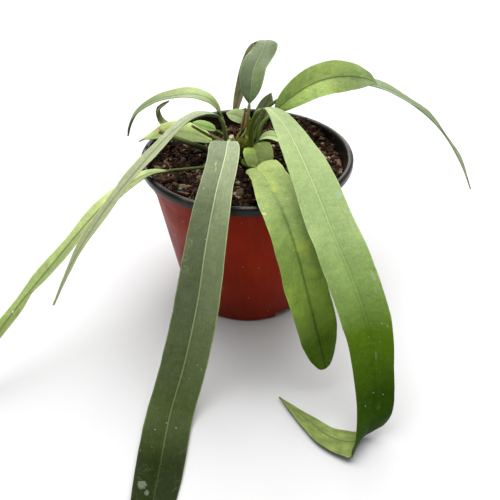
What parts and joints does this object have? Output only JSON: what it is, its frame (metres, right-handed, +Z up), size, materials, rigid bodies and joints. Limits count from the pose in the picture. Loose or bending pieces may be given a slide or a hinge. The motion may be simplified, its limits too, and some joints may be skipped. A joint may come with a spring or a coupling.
{
  "type": "potted plant",
  "caption": "Strap-leaved anthurium in a thin plastic nursery pot, with long narrow leaves that arch over the rim and trail along the surface.",
  "frame": {"origin": "centre of the pot's flat underside, on the surface that the pot stands on", "axes": "+Z up along the pot's axis; -Y towards the viewer of the picture; +X to the viewer's right"},
  "size_m": [0.4019, 0.3506, 0.1868],
  "materials": {
    "pot_plastic": "satin",
    "bark_mix": "rough",
    "crown_stem": "rough",
    "leaf_grey_green": "satin",
    "leaf_light_green": "satin",
    "leaf_mottled": "satin",
    "leaf_pale": "satin",
    "leaf_fresh": "satin",
    "leaf_dark": "satin",
    "stalk_green": "satin",
    "withered": "matte",
    "stub_pale": "matte"
  },
  "bodies": {
    "root": {"pot": "pot_plastic", "soil": "bark_mix", "crown": "crown_stem", "leaf_front_long": "leaf_grey_green", "leaf_right_long": "leaf_light_green", "leaf_front_short": "leaf_mottled", "leaf_right_broad": "leaf_mottled", "leaf_right_reaching": "leaf_pale", "leaf_upright": "leaf_grey_green", "leaf_left_arching": "leaf_light_green", "leaf_left_long": "leaf_grey_green", "leaf_left_low": "leaf_light_green", "leaf_left_pale": "leaf_pale", "leaf_left_folded": "leaf_grey_green", "leaf_left_curled": "leaf_pale", "leaf_back_small": "leaf_pale", "leaf_back_dark": "leaf_dark", "leaf_heart": "leaf_fresh", "leaf_tucked": "leaf_pale", "sheath_upright": "withered", "stalk_cut_long": "stalk_green", "stalk_withered": "withered", "stalk_stub": "stub_pale"}
  },
  "joints": []
}
